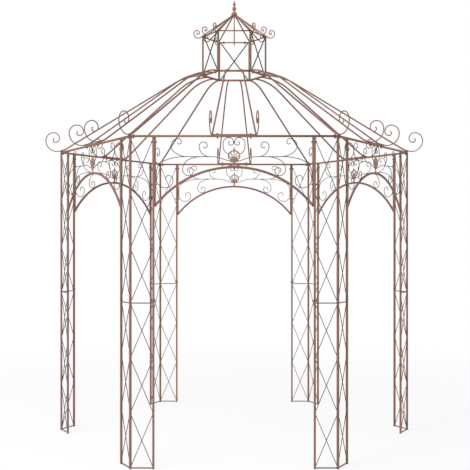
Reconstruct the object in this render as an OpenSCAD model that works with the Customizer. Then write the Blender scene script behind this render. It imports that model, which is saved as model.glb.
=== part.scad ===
// Hexagonal open gazebo of wrought iron: six lattice legs, six arches with scrollwork,
// a ribbed roof and a small cupola with a finial. The origin is on the ground at the centre.

/* [Plan] */
// Centre of the gazebo to the axis of a corner post
corner_r = 1600; // [1400:10:1900]

/* [Legs] */
// Height of the leg tubes
leg_h = 2557; // [2450:1:2800]
// Side of the square leg tubes
tube = 16; // [12:1:22]
// Corner post to side tube, axis to axis along a face
leg_w = 178; // [150:1:220]
// Crossed rods in the height of a leg
crosses = 6; // [4:2:8]
// Side of the lattice rods
rod = 6; // [4:0.5:8]
// Side of the rungs at the foot and at mid height
rung = 8; // [6:0.5:12]
// Underside of the foot rung above the ground
foot_gap = 4; // [2:1:30]

/* [Arches] */
// Clear height between the crown of an arch and the eave rail
head_room = 222; // [185:1:265]
// Rise of the arch, on its centre line
arch_rise = 297; // [240:1:350]
// Width of the arch bar, seen from the front
arch_w = 18; // [12:1:20]
// Width of the stiles, seen from the front
stile_w = 12; // [8:1:16]
// Depth of the arch bar and stiles
arch_d = 12; // [8:1:16]

/* [Scrollwork] */
// Side of the scroll rods
scroll_rod = 6; // [4:0.5:8]
// Height of the shell's base above the crown of the arch
shell_stem = 42; // [36:1:46]
// Reach of the shell's middle rib
shell_rib = 66; // [56:1:74]
// Depth of the shell casting
shell_d = 10; // [6:1:14]

/* [Eave] */
// Side of the square eave rails
rail = 16; // [12:1:22]
// Gap left at the mitre between two rails
mitre_gap = 0.6; // [0.2:0.1:1.5]

/* [Roof] */
// Side of the roof ribs
rib = 12; // [8:1:16]
// Height of the cupola's base ring above the eave rails
roof_rise = 696; // [600:1:800]
// Radius of the bend at the head of a rib
head_bend = 480; // [300:10:600]
// Radius of the bend at the foot of a rib
foot_bend = 40; // [25:1:60]
// First radius of the scroll at the foot of a rib
eave_scroll = 102; // [70:1:120]
// Side of the scroll rods at the ends of the ribs
curl_rod = 9; // [6:0.5:9]
// Middle of a face to each of its paired ribs, at the rail
pair_foot = 171; // [120:1:220]
// Middle of a face to each of its paired ribs, at the cupola
pair_head = 62; // [45:1:85]
// Height of the bar that joins the feet of paired ribs
foot_bar = 8; // [6:1:12]

/* [Cupola] */
// Centre to the axis of a cupola post
cupola_r = 290; // [240:1:340]
// Side of the square cupola posts and of the base ring
cupola_tube = 16; // [12:1:20]
// Height of the cupola posts
cupola_h = 347; // [280:1:420]
// Side of the crossed rods between the cupola posts
brace_rod = 8; // [5:0.5:10]
// Side of the top ring and of the ribs over it
cap_bar = 10; // [8:1:12]
// Rise of the cupola's roof from its top ring to the top of the hub
cap_rise = 196; // [150:1:230]
// First radius of the scrolls round the cupola
cap_scroll = 41; // [30:1:50]
// Overhang of the cupola's ribs before their scrolls
cap_overhang = 16; // [8:1:30]
// Depth of the notch that seats a cupola rib on the top ring
cap_notch = 6; // [3:0.5:7]

/* [Finial] */
// Flat to centre of the twelve-sided hub
hub_r = 21; // [20:0.5:24]
// Height of the hub
hub_h = 20; // [16:1:30]
// Radius of the bell over the hub
bell_r = 28; // [25:0.5:32]
// Height of the bell
bell_h = 38; // [28:1:48]
// Radius of the neck that runs up through the balls
neck_r = 9; // [6:0.5:11]
// Neck between the bell and the large ball
ball_neck = 1; // [0.5:0.5:8]
// Radius of the large ball
ball_r = 19.5; // [15:0.5:24]
// Neck between the two balls
bead_neck = 7; // [4:0.5:12]
// Radius of the small ball
bead_r = 14; // [10:0.5:16]
// Length of the spike over the small ball
spike_h = 18; // [12:1:40]

/* [Hidden] */
$fn = 48;
CORNERS = ["front_left", "front_right", "right", "back_right", "back_left", "left"];
FACES = ["front", "right_front", "right_back", "back", "left_back", "left_front"];
SIDES = 6;

iron = "#7d6258";
dark_iron = "#5c4c46";

// Plan of the hexagon
corner_u = corner_r / 2;
face_y = corner_r * cos(30);
side_tube_u = corner_u - leg_w;
cupola_u = cupola_r / 2;
cupola_y = cupola_r * cos(30);

// Heights, from the ground up
rail_top = leg_h + rail;
ring_z = rail_top + roof_rise;
ring_top = ring_z + cupola_tube;
rib_head_z = ring_z + cupola_tube / 2;
cap_ring_z = ring_top + cupola_h;
cap_foot_z = cap_ring_z + cap_bar;
hub_z = cap_foot_z + cap_rise;

// Arch
spring_h = leg_h - head_room - arch_w / 2 - arch_rise;
stile_u = side_tube_u - tube / 2 - stile_w / 2;
stile_in = stile_u - stile_w / 2;
arch_r = (stile_u * stile_u + arch_rise * arch_rise) / (2 * arch_rise);
arch_centre_z = spring_h + arch_rise - arch_r;
crown_top = spring_h + arch_rise + arch_w / 2;

// Bars that are welded to each other are this far apart
weld_gap = 0.3;

// Shell castings: a foot on the arch, a heart-shaped palm and a fan of ribs with a rim
shell_z = crown_top + shell_stem;
shell_neck = 14;
shell_foot_z = shell_z - 16;
shell_brow_z = shell_z + 14;
shell_fan_z = shell_z + 8;
shell_palm = 25;
shell_cheek = 13;
shell_ear = 8;
shell_ear_z = shell_z + 7;
shell_point = 17;
shell_w = 7;
shell_lobe = 6.5;
shell_ribs = 7;
shell_spread = 69;
shell_taper = 0.26;
function shell_turn(i) = shell_spread * (2 * i / (shell_ribs - 1) - 1);
function shell_reach(i) = shell_rib * (1 - shell_taper * pow(shell_turn(i) / shell_spread, 2));
function shell_tip(i) = [
    shell_reach(i) * sin(shell_turn(i)),
    shell_fan_z + shell_reach(i) * cos(shell_turn(i))
];
function shell_flank(z) = shell_neck / 2
    + (shell_palm - shell_neck / 2) * (z - shell_foot_z) / (shell_brow_z - shell_foot_z);

// Ribs
foot_flat = 24;
ring_half = cupola_tube / 2 / cos(30);
head_flat = ring_half + 4;
scroll_ratios = [0.71, 0.52, 0.36, 0.21];
scroll_tip_ratio = 0.13;
scroll_dip = 12;

// Turtle paths. A step is [length, 0] for a straight and [radius, turn] for an arc that
// turns left where turn is positive. A pose is [x, y, heading].
function advance(p, s, f) = s[1] == 0
    ? [p.x + f * s[0] * cos(p.z), p.y + f * s[0] * sin(p.z), p.z]
    : let (d = sign(s[1]), h = p.z + f * s[1])
        [p.x + s[0] * d * (sin(h) - sin(p.z)), p.y - s[0] * d * (cos(h) - cos(p.z)), h];
function pieces(s) = s[1] == 0 ? 1 : ceil(abs(s[1]) / (s[0] > 150 ? 4 : 15));
function poses(p, steps, i = 0) = i == len(steps)
    ? [p]
    : let (n = pieces(steps[i]))
        concat([for (k = [0:n - 1]) advance(p, steps[i], k / n)],
               poses(advance(p, steps[i], 1), steps, i + 1));
function last_pose(p, steps, i = 0) = i == len(steps)
    ? p
    : last_pose(advance(p, steps[i], 1), steps, i + 1);

// Outline of a bar of width w along the poses ps.
function outline(ps, w) = concat(
    [for (p = ps) [p.x - w / 2 * sin(p.z), p.y + w / 2 * cos(p.z)]],
    [for (i = [len(ps) - 1:-1:0]) [ps[i].x + w / 2 * sin(ps[i].z), ps[i].y - w / 2 * cos(ps[i].z)]]
);

// A scroll at the end of a rib: a first turn of radius r, then quarter turns that tighten.
function rib_curl(r, first_turn) = concat(
    [[r, first_turn]],
    [for (ratio = scroll_ratios) [r * ratio, 90]],
    [[r * scroll_tip_ratio, 70]]
);

// Paths of the scrollwork. Their lengths and radii are hundredths of the head room over an
// arch, so that the scrolls keep to the space between the arch and the rail.
function in_head_room(steps) = [for (s = steps) [s[0] * head_room / 100, s[1]]];
stem_turn = 12;
stem_z = shell_z - 10;
stem_u = shell_flank(stem_z + scroll_rod / 2) + scroll_rod / 2 * sin(stem_turn) + weld_gap;
stem_start = [stem_u, stem_z, stem_turn];
stem_head = in_head_room([[135, 6], [29, 0], [110, -18]]);
stem_tail = in_head_room([[190, -22], [45, -68]]);
stem_drop = in_head_room([[22, 0], [31, -90], [27, -90], [16, -90], [10, -90], [6, -60]]);
stem_flat = last_pose(stem_start, stem_head);
stem_fall = last_pose([0, 0, 0], stem_tail);
stem_straight = stile_in - scroll_rod / 2 - stem_flat.x - stem_fall.x;
stem_path = concat(stem_head, [[stem_straight, 0]], stem_tail, stem_drop);
up_curl = in_head_room([[4, 0], [36, 90], [15, 90], [13, 90], [8, 90], [6, 60]]);
end_back = in_head_room([[-7, 0]]);
end_curl = in_head_room([[68, 45], [25, 135], [11, 90], [8, 90], [6, 60]]);

// The down curl branches off where its lower left quarter comes to rest on the arch.
down_curl = in_head_room([[113, -22], [40, -68], [21, -90], [16, -90], [12, -90], [9, -90], [6, -60]]);
down_low = last_pose([0, stem_flat.y, 0], [for (k = [0:2]) down_curl[k]]);
down_quarter = down_curl[3][0];
down_reach = arch_r + arch_w / 2 + weld_gap + scroll_rod / 2 + down_quarter;
down_rise = down_low.y + down_quarter - arch_centre_z;
down_start = [sqrt(pow(down_reach, 2) - pow(down_rise, 2)) - down_low.x, stem_flat.y, 0];

// The heart springs from the last lobe but one of the shell, and its halves meet under the rail.
heart_turn = 25;
heart_tip = shell_tip(shell_ribs - 2);
heart_seat = shell_lobe + weld_gap;
heart_start = [
    heart_tip.x + heart_seat * cos(heart_turn),
    heart_tip.y + heart_seat * sin(heart_turn),
    heart_turn
];
heart_foot = in_head_room([[28, 90 - heart_turn]]);
heart_bulge = last_pose(heart_start, heart_foot);
heart_top = head_room / 5;
heart_rise = leg_h - scroll_rod / 2 - heart_top - heart_bulge.y;
heart_path = concat(
    heart_foot,
    [
        [heart_rise, 0],
        [heart_top, 90],
        [heart_bulge.x - heart_top - scroll_rod / 2 - weld_gap, 90]
    ],
    in_head_room([[10, 90], [7.5, 90], [5.5, 70]])
);

// Puts a drawing of (along, height) upright, centred on its depth.
module upright(depth) {
    rotate([90, 0, 0])
        linear_extrude(depth, center = true)
            children();
}

// A bent bar along a path, upright on the line of a face.
module bent_bar(p, steps, w, depth) {
    upright(depth)
        polygon(outline(poses(p, steps), w));
}

module at_face(i) {
    rotate([0, 0, 60 * i])
        children();
}

module at_corner(i) {
    rotate([0, 0, 60 * i - 120])
        children();
}

module mirror_pair() {
    children();
    mirror([1, 0, 0])
        children();
}

// Legs

module corner_bar() {
    translate([corner_r - tube / 2, -tube / 2, 0])
        cube([tube, tube, leg_h]);
}

module corner_post(i) {
    color(iron)
        at_corner(i)
            corner_bar();
}

module lattice_rods() {
    low = foot_gap + rung / 2;
    pitch = (leg_h - 2 * low) / crosses;
    slope = atan2(pitch, leg_w);
    span = norm([pitch, leg_w]);
    for (k = [0:crosses - 1]) {
        bent_bar([side_tube_u, low + k * pitch, slope], [[span, 0]], rod, rod);
        bent_bar([corner_u, low + k * pitch, 180 - slope], [[span, 0]], rod, rod);
    }
}

module rung_at(z) {
    translate([side_tube_u, -rung / 2, z])
        cube([leg_w, rung, rung]);
}

// One flat side of a leg, at the right-hand end of the front face.
module leg_side() {
    difference() {
        translate([0, -face_y, 0]) {
            translate([side_tube_u - tube / 2, -tube / 2, 0])
                cube([tube, tube, leg_h]);
            lattice_rods();
            rung_at(foot_gap);
            rung_at(leg_h / 2 - rung / 2);
        }
        at_corner(1)
            corner_bar();
    }
}

module leg_lattice(i) {
    color(dark_iron)
        rotate([0, 0, 60 * (i - 1)]) {
            leg_side();
            rotate([0, 0, 60])
                mirror([1, 0, 0])
                    leg_side();
        }
}

// Arches

module arch_bow() {
    intersection() {
        translate([0, arch_centre_z])
            difference() {
                circle(arch_r + arch_w / 2);
                circle(arch_r - arch_w / 2);
            }
        translate([-stile_u, spring_h])
            square([2 * stile_u, leg_h - spring_h]);
    }
}

module arch_frame(i) {
    color(iron)
        at_face(i)
            translate([0, -face_y, 0]) {
                upright(arch_d)
                    arch_bow();
                mirror_pair()
                    upright(arch_d)
                        translate([stile_in, spring_h - arch_w / 2])
                            square([stile_w, leg_h - spring_h + arch_w / 2]);
            }
}

// Scrollwork, on the right-hand half of a face. A stem runs from the shell's base to the
// stile and curls under itself, and three curls branch off it.

module stem_side() {
    bent_bar(stem_start, stem_path, scroll_rod, scroll_rod);
    bent_bar(stem_flat, up_curl, scroll_rod, scroll_rod);
    bent_bar(down_start, down_curl, scroll_rod, scroll_rod);
    bent_bar(
        last_pose(stem_flat, concat([[stem_straight, 0]], end_back)),
        end_curl,
        scroll_rod,
        scroll_rod
    );
}

module heart_side() {
    bent_bar(heart_start, heart_path, scroll_rod, scroll_rod);
}

module scrollwork(i) {
    color(dark_iron)
        at_face(i)
            translate([0, -face_y, 0])
                mirror_pair() {
                    stem_side();
                    heart_side();
                }
}

// Shell castings over the crowns

module shell_bar(from, to, w) {
    way = to - from;
    bent_bar([from.x, from.y, atan2(way.y, way.x)], [[norm(way), 0]], w, shell_d);
}

module shell_disc(at, r) {
    upright(shell_d)
        translate(at)
            circle(r);
}

module shell_palm_plate() {
    upright(shell_d)
        polygon([
            [-shell_neck / 2, shell_foot_z],
            [shell_neck / 2, shell_foot_z],
            [shell_palm, shell_brow_z],
            [-shell_palm, shell_brow_z]
        ]);
    for (side = [-1, 1]) {
        shell_disc([side * (shell_palm - shell_cheek), shell_brow_z], shell_cheek);
        shell_disc([side * shell_palm, shell_ear_z], shell_ear);
    }
}

module shell_fan() {
    for (i = [0:shell_ribs - 1]) {
        shell_bar([0, shell_fan_z], shell_tip(i), shell_w);
        shell_disc(shell_tip(i), shell_lobe);
    }
    for (i = [1:shell_ribs - 1])
        shell_bar(shell_tip(i - 1), shell_tip(i), shell_w);
    upright(shell_d)
        translate([0, shell_fan_z + shell_rib])
            polygon([[-shell_w / 2, 0], [shell_w / 2, 0], [0, shell_lobe + shell_point]]);
}

module shell_ornament() {
    upright(shell_d)
        translate([-shell_neck / 2, crown_top])
            square([shell_neck, shell_fan_z - crown_top]);
    shell_palm_plate();
    shell_fan();
}

module shell_ornaments() {
    color(iron)
        for (i = [0:SIDES - 1])
            at_face(i)
                translate([0, -face_y, 0])
                    shell_ornament();
}

// Eave rails, mitred at the corners

module eave_rail() {
    inner = tan(30) * (face_y - rail / 2) - mitre_gap;
    outer = tan(30) * (face_y + rail / 2) - mitre_gap;
    translate([0, 0, leg_h])
        linear_extrude(rail)
            polygon([
                [-outer, -face_y - rail / 2],
                [outer, -face_y - rail / 2],
                [inner, -face_y + rail / 2],
                [-inner, -face_y + rail / 2]
            ]);
}

module eave_rails() {
    color(iron)
        for (i = [0:SIDES - 1])
            at_face(i)
                eave_rail();
}

// Roof ribs. A rib leaves the base ring level, bends down, runs straight, and bends level
// again onto its rail, so its slope follows from the run and the drop between the two.
// It starts on the axis of the ring and is cut off at the ring's outer face.
function rib_slope(run, drop, bends) = let (rest = drop - bends)
    asin(bends / norm([run, rest])) + atan2(rest, run);
function rib_length(run, slope, bends) = (run - bends * sin(slope)) / cos(slope);

module roof_rib(reach) {
    run = reach - foot_flat / 2 - head_flat;
    bends = head_bend + foot_bend;
    slope = rib_slope(run, rib_head_z - rail_top - rib / 2, bends);
    steps = [
        [head_flat, 0],
        [head_bend, -slope],
        [rib_length(run, slope, bends), 0],
        [foot_bend, slope],
        [foot_flat, 0]
    ];
    start = [0, rib_head_z, 0];
    foot = advance(last_pose(start, steps), [-foot_flat / 2, 0], 1);
    scroll = concat(
        [[foot_flat / 2, 0], [foot_bend, -scroll_dip]],
        rib_curl(eave_scroll, 90 + scroll_dip)
    );
    bent_bar(start, steps, rib, rib);
    bent_bar(foot, scroll, curl_rod, curl_rod);
}

module hip_rib(i) {
    color(iron)
        at_corner(i)
            difference() {
                translate([cupola_r, 0, 0])
                    roof_rib(corner_r - cupola_r);
                base_ring();
            }
}

module pair_rib() {
    plan = [pair_foot - pair_head, cupola_y - face_y];
    difference() {
        translate([pair_head, -cupola_y, 0])
            rotate([0, 0, atan2(plan.y, plan.x)])
                roof_rib(norm(plan));
        base_ring();
    }
}

module rib_pair(i) {
    color(iron)
        at_face(i) {
            mirror_pair()
                pair_rib();
            translate([-pair_foot, -face_y - rib / 2, rail_top])
                cube([2 * pair_foot, rib, foot_bar]);
        }
}

// Cupola

module hex_ring(r, w, z) {
    translate([0, 0, z])
        linear_extrude(w)
            difference() {
                circle(r + w / 2 / cos(30), $fn = SIDES);
                circle(r - w / 2 / cos(30), $fn = SIDES);
            }
}

module base_ring() {
    hex_ring(cupola_r, cupola_tube, ring_z);
}

module cupola_base_ring() {
    color(iron)
        base_ring();
}

module cupola_posts() {
    color(iron)
        for (i = [0:SIDES - 1])
            at_corner(i)
                translate([cupola_r - cupola_tube / 2, -cupola_tube / 2, ring_top])
                    cube([cupola_tube, cupola_tube, cupola_h]);
}

module cross_2d() {
    half = cupola_u - cupola_tube;
    slope = atan2(cupola_h, 2 * half);
    reach = norm([cupola_h, 2 * half]) + 4 * brace_rod;
    intersection() {
        translate([-cupola_u, ring_top])
            square([2 * cupola_u, cupola_h]);
        translate([0, ring_top + cupola_h / 2])
            mirror_pair()
                rotate([0, 0, slope])
                    square([reach, brace_rod], center = true);
    }
}

module cupola_braces() {
    color(dark_iron)
        for (i = [1:2:SIDES - 1])
            at_face(i)
                translate([0, -cupola_y, 0])
                    upright(brace_rod)
                        cross_2d();
}

module cupola_top_ring() {
    color(iron)
        hex_ring(cupola_r, cap_bar, cap_ring_z);
}

module hub(h) {
    rotate([0, 0, 15])
        translate([0, 0, hub_z - hub_h])
            cylinder(r = hub_r / cos(15), h = h, $fn = 12);
}

// A cupola rib runs straight from the top edge of the hub, is notched over the outer edge of
// the top ring, and ends in a scroll. reach is from the centre to that edge.
function cap_slope(reach) = let (run = reach - hub_r, drop = cap_rise + cap_notch)
    acos(cap_bar / norm([run, drop])) - atan2(run, drop);

module cap_rib(reach, ring_turn) {
    slope = cap_slope(reach);
    head = [hub_r - cap_bar / 2 * sin(slope), hub_z - cap_bar / 2 * cos(slope), -slope];
    run = [[(reach + cap_overhang - hub_r) / cos(slope), 0]];
    difference() {
        union() {
            bent_bar(advance(head, [-cap_bar, 0], 1), concat([[cap_bar, 0]], run), cap_bar, cap_bar);
            bent_bar(
                advance(last_pose(head, run), [-cap_bar, 0], 1),
                concat([[cap_bar, 0]], rib_curl(cap_scroll, 90 + slope)),
                curl_rod,
                curl_rod
            );
        }
        hub(hub_h + cap_bar);
        rotate([0, 0, ring_turn])
            hex_ring(cupola_r, cap_bar, cap_ring_z);
    }
}

module cupola_hip_ribs() {
    color(iron)
        for (i = [0:SIDES - 1])
            at_corner(i)
                cap_rib(cupola_r + cap_bar / 2 / cos(30), 0);
}

module cupola_mid_ribs() {
    color(iron)
        for (i = [0:SIDES - 1])
            at_face(i)
                rotate([0, 0, -90])
                    cap_rib(cupola_y + cap_bar / 2, 30);
}

// The bell's flank is a cosine, level at the rim and upright at the neck.
function bell_edge(t) = [neck_r + (bell_r - neck_r) * (1 + cos(t)) / 2, bell_h * t / 180];

module finial() {
    ball_z = hub_z + bell_h + ball_neck + ball_r;
    bead_z = ball_z + ball_r + bead_neck + bead_r;
    color(iron)
        union() {
            hub(hub_h);
            translate([0, 0, hub_z])
                rotate_extrude()
                    polygon(concat([[0, 0]], [for (t = [0:20:180]) bell_edge(t)], [[0, bell_h]]));
            translate([0, 0, hub_z])
                cylinder(r = neck_r, h = bead_z - hub_z);
            translate([0, 0, ball_z])
                sphere(ball_r);
            translate([0, 0, bead_z])
                sphere(bead_r);
            translate([0, 0, bead_z])
                cylinder(r1 = neck_r, r2 = neck_r / 5, h = bead_r + spike_h);
        }
}

for (i = [0:SIDES - 1]) {
    corner_post(i);
    leg_lattice(i);
    arch_frame(i);
    scrollwork(i);
    hip_rib(i);
    rib_pair(i);
}
shell_ornaments();
eave_rails();
cupola_base_ring();
cupola_posts();
cupola_braces();
cupola_top_ring();
cupola_hip_ribs();
cupola_mid_ribs();
finial();
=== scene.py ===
"""Open hexagonal gazebo of painted iron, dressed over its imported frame.

Every tube, bent bar, rod, casting, bolt and weld is modelled once in the plane of a face or of a
rib and then copied round the hexagon. Lengths are in metres and turns in degrees.
"""
from math import acos, asin, atan2, ceil, cos, degrees, hypot, pi, radians, sin, sqrt, tan

import bpy
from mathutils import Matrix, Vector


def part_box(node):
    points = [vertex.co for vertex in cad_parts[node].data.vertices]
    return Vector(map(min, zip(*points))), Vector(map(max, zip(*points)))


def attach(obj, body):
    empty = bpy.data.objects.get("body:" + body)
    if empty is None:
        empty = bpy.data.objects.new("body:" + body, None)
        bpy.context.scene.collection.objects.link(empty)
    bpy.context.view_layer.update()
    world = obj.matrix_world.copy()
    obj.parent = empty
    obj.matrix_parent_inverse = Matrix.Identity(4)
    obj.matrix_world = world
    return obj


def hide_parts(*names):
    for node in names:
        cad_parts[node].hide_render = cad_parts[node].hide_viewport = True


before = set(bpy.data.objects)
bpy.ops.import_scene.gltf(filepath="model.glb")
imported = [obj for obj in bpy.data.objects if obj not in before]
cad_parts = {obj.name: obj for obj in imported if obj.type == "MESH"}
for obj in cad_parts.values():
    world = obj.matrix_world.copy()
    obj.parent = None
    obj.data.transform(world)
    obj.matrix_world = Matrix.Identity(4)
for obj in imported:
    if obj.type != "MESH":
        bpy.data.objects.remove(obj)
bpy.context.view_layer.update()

# Names of the frame's corners and faces, in order round the hexagon
CORNERS = ["front_left", "front_right", "right", "back_right", "back_left", "left"]
FACES = ["front", "right_front", "right_back", "back", "left_back", "left_front"]
RIGHT_CORNER = 2
FRONT_RIGHT_CORNER = 1
FRONT_FACE = 0

# Turns in degrees, and two angles in radians that follow from them
SIXTH = 60
QUARTER = 90
HALF_SIXTH = radians(SIXTH / 2)
UP = radians(QUARTER)

# Sizes read from the frame
post_low, post_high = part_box("corner_post_right")
tube = post_high.x - post_low.x
leg_h = post_high.z
corner_r = (post_low.x + post_high.x) / 2
corner_u = corner_r / 2
face_y = corner_r * cos(HALF_SIXTH)
side_tube_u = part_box("leg_lattice_front_right")[0].x + tube / 2
arch_low, arch_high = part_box("arch_frame_front")
arch_d = arch_high.y - arch_low.y
scroll_low, scroll_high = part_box("scrollwork_front")
scroll_rod = scroll_high.y - scroll_low.y
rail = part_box("eave_rails")[1].z - leg_h
rail_top = leg_h + rail
rib_low, rib_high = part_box("hip_rib_right")
rib = rib_high.y - rib_low.y
ring_low, ring_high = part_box("cupola_base_ring")
cupola_tube = ring_high.z - ring_low.z
ring_top = ring_high.z
ring_half = cupola_tube / 2 / cos(HALF_SIXTH)
cupola_r = ring_high.x - ring_half
cupola_y = cupola_r * cos(HALF_SIXTH)
cap_low, cap_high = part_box("cupola_top_ring")
cap_bar = cap_high.z - cap_low.z
finial_low, finial_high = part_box("finial")

# Sizes of the ironwork that a box can't give
MM = 0.001
LATTICE_CROSSES = 6
LATTICE_ROD = 6 * MM
LATTICE_WELD = 0.8 * LATTICE_ROD
CROSS_LAP = 0.45
RUNG = 8 * MM
FOOT_GAP = 4 * MM
ARCH_W = 18 * MM
ARCH_RISE = 297 * MM
ARCH_WELD = 0.4 * ARCH_W
STILE_W = 12 * MM
MITRE_GAP = 0.6 * MM
HEAD_BEND = 480 * MM
HEAD_LAP = 4 * MM
HEAD_FLAT = ring_half + HEAD_LAP
FOOT_BEND = 40 * MM
FOOT_BOW = 150 * MM
FOOT_FLAT = 24 * MM
FOOT_BAR = 8 * MM
EAVE_SCROLL = 102 * MM
SCROLL_DIP = 12
CURL_ROD = 9 * MM
CURL_RATIOS = [0.71, 0.52, 0.36, 0.21]
CURL_TIP_RATIO = 0.13
CURL_TIP_TURN = 70
PAIR_FOOT = 171 * MM
PAIR_HEAD = 53 * MM
BRACE_ROD = 10.5 * MM
CAP_SCROLL = 41 * MM
CAP_OVERHANG = 16 * MM
CAP_NOTCH = 6 * MM
HUB_R = 21 * MM
HUB_H = 20 * MM

# Heights and widths that follow from them
stile_u = arch_high.x - STILE_W / 2
stile_in = arch_high.x - STILE_W
spring_h = arch_low.z + ARCH_W / 2
arch_r = (stile_u ** 2 + ARCH_RISE ** 2) / (2 * ARCH_RISE)
arch_centre_z = spring_h + ARCH_RISE - arch_r
crown_top = spring_h + ARCH_RISE + ARCH_W / 2
head_room = leg_h - crown_top
rib_head_z = ring_top - cupola_tube / 2
hub_z = finial_low.z + HUB_H
cap_rise = hub_z - cap_high.z

# How finely things are modelled
ROD_SIDES = 10
TURNED_SIDES = 24
EDGE_ROUND = 1.6 * MM
EDGE_STEPS = 3
FLAT_CUTS = 2
BEND_STEP = 9
WIDE_BEND = 150 * MM
WIDE_BEND_STEP = 3
SMOOTH_ANGLE = 40
WELD_SIDES = 8
WELD_ROWS = 6
WELD_FLATNESS = 0.75
DOME_REACHES = [0.22, 0.16, 0.09]
DOME_SHARES = [0.9, 0.72, 0.45]


# Bars and rods, bent along paths in the XZ plane

def advance(pose, step):
    """Moves a pose, which is x, z and a heading in radians, on by a step of a path.

    A step is a length and 0 for a straight, or a radius and a turn in degrees for a bend, to the
    left where the turn is positive.
    """
    x, z, heading = pose
    size, turn = step
    if turn == 0:
        return x + size * cos(heading), z + size * sin(heading), heading
    side = 1 if turn > 0 else -1
    end = heading + radians(turn)
    x += side * size * (sin(end) - sin(heading))
    z -= side * size * (cos(end) - cos(heading))
    return x, z, end


def path_end(pose, steps):
    for step in steps:
        pose = advance(pose, step)
    return pose


def deselect():
    active = bpy.context.object
    if active and active.mode != "OBJECT":
        bpy.ops.object.mode_set(mode="OBJECT")
    bpy.ops.object.select_all(action="DESELECT")


def choose(piece):
    deselect()
    piece.select_set(True)
    bpy.context.view_layer.objects.active = piece
    return piece


def begin(name):
    """Opens the primitive that was just added, with its place in its mesh."""
    bpy.context.object.name = name
    bpy.ops.object.transform_apply()
    bpy.ops.object.mode_set(mode="EDIT")
    bpy.ops.mesh.select_all(action="SELECT")


def across(pose):
    """Place of a flat primitive that lies square across a path."""
    x, z, heading = pose
    return {"location": (x, 0, z), "rotation": (0, pi / 2 - heading, 0)}


def round_ring(name, width, pose):
    deselect()
    bpy.ops.mesh.primitive_circle_add(vertices=ROD_SIDES, radius=width / 2, **across(pose))
    begin(name)


def select_long_edges(shortest):
    """Selects the edges of the open piece that are longer than a length."""
    bpy.ops.mesh.select_mode(type="EDGE")
    bpy.ops.mesh.select_all(action="DESELECT")
    bpy.ops.object.mode_set(mode="OBJECT")
    mesh = bpy.context.object.data
    for edge in mesh.edges:
        first, second = (mesh.vertices[i].co for i in edge.vertices)
        edge.select = (second - first).length > shortest
    bpy.ops.object.mode_set(mode="EDIT")


def square_ring(name, width, depth, pose):
    """Section of a tube with rounded corners, and cuts in its flats that keep wear to the edges."""
    deselect()
    bpy.ops.mesh.primitive_plane_add(size=1, **across(pose))
    bpy.context.object.scale = (width, depth, 1)
    begin(name)
    bpy.ops.mesh.bevel(offset=EDGE_ROUND, segments=EDGE_STEPS, affect="VERTICES")
    bpy.ops.mesh.delete(type="ONLY_FACE")
    select_long_edges(EDGE_ROUND)
    bpy.ops.mesh.subdivide(number_cuts=FLAT_CUTS)
    bpy.ops.mesh.select_mode(type="VERT")
    bpy.ops.mesh.select_all(action="SELECT")


def draw_out(pose, length):
    """Extrudes the selected ring straight on along a path."""
    heading = pose[2]
    way = (length * cos(heading), 0, length * sin(heading))
    bpy.ops.mesh.extrude_region_move(TRANSFORM_OT_translate={"value": way})


def follow(pose, steps):
    """Draws the selected ring along a path, straights by extruding and bends by spinning."""
    for step in steps:
        size, turn = step
        x, z, heading = pose
        if turn == 0:
            draw_out(pose, size)
        else:
            side = 1 if turn > 0 else -1
            centre = (x - side * size * sin(heading), 0, z + side * size * cos(heading))
            fine = WIDE_BEND_STEP if size > WIDE_BEND else BEND_STEP
            bpy.ops.mesh.spin(
                steps=ceil(abs(turn) / fine), angle=radians(turn), center=centre, axis=(0, 1, 0)
            )
        pose = advance(pose, step)
    return pose


def shrink(pose, share, depth_share=None):
    """Scales the selected ring about its place on a path, in depth by a share of its own."""
    depth = share if depth_share is None else depth_share
    bpy.ops.transform.resize(value=(share, depth, share), center_override=(pose[0], 0, pose[1]))


def dome(pose, width):
    """Rounds off the end of a rod."""
    for reach, share in zip(DOME_REACHES, DOME_SHARES):
        draw_out(pose, reach * width)
        pose = advance(pose, (reach * width, 0))
        shrink(pose, share)


def close():
    """Closes the open ends of a piece, turns its faces outwards and smooths its round faces."""
    bpy.ops.mesh.select_all(action="SELECT")
    bpy.ops.mesh.fill_holes(sides=0)
    bpy.ops.mesh.normals_make_consistent(inside=False)
    bpy.ops.object.mode_set(mode="OBJECT")
    bpy.ops.object.shade_smooth_by_angle(angle=radians(SMOOTH_ANGLE))
    return bpy.context.object


def rod(name, pose, steps, width):
    """A round rod along a path, with a rounded far end."""
    round_ring(name, width, pose)
    dome(follow(pose, steps), width)
    return close()


def bar(name, pose, steps, width, depth):
    """A square or flat bar along a path, with rounded edges."""
    square_ring(name, width, depth, pose)
    follow(pose, steps)
    return close()


def turned(name, profile, sides=TURNED_SIDES, turn=0):
    """A turned or many-sided piece on the upright axis, through rings of height and radius."""
    z, radius = profile[0]
    deselect()
    bpy.ops.mesh.primitive_circle_add(
        vertices=sides, radius=radius, location=(0, 0, z), rotation=(0, 0, radians(turn))
    )
    begin(name)
    for next_z, next_radius in profile[1:]:
        draw_out((0, z, UP), next_z - z)
        shrink((0, next_z, UP), next_radius / radius)
        z, radius = next_z, next_radius
    return close()


def weld(at, size):
    """A blob of weld, a little flattened."""
    deselect()
    bpy.ops.mesh.primitive_uv_sphere_add(
        segments=WELD_SIDES, ring_count=WELD_ROWS, radius=size, location=at
    )
    begin("weld")
    bpy.ops.transform.resize(value=(1, 1, WELD_FLATNESS), center_override=at)
    bpy.ops.object.mode_set(mode="OBJECT")
    bpy.ops.object.shade_smooth()
    return bpy.context.object


# Copies and joins

def joined(name, parts):
    """One piece of several."""
    deselect()
    for part in parts:
        part.select_set(True)
    bpy.context.view_layer.objects.active = parts[0]
    if len(parts) > 1:
        bpy.ops.object.join()
    piece = bpy.context.object
    piece.name = name
    return piece


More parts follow.
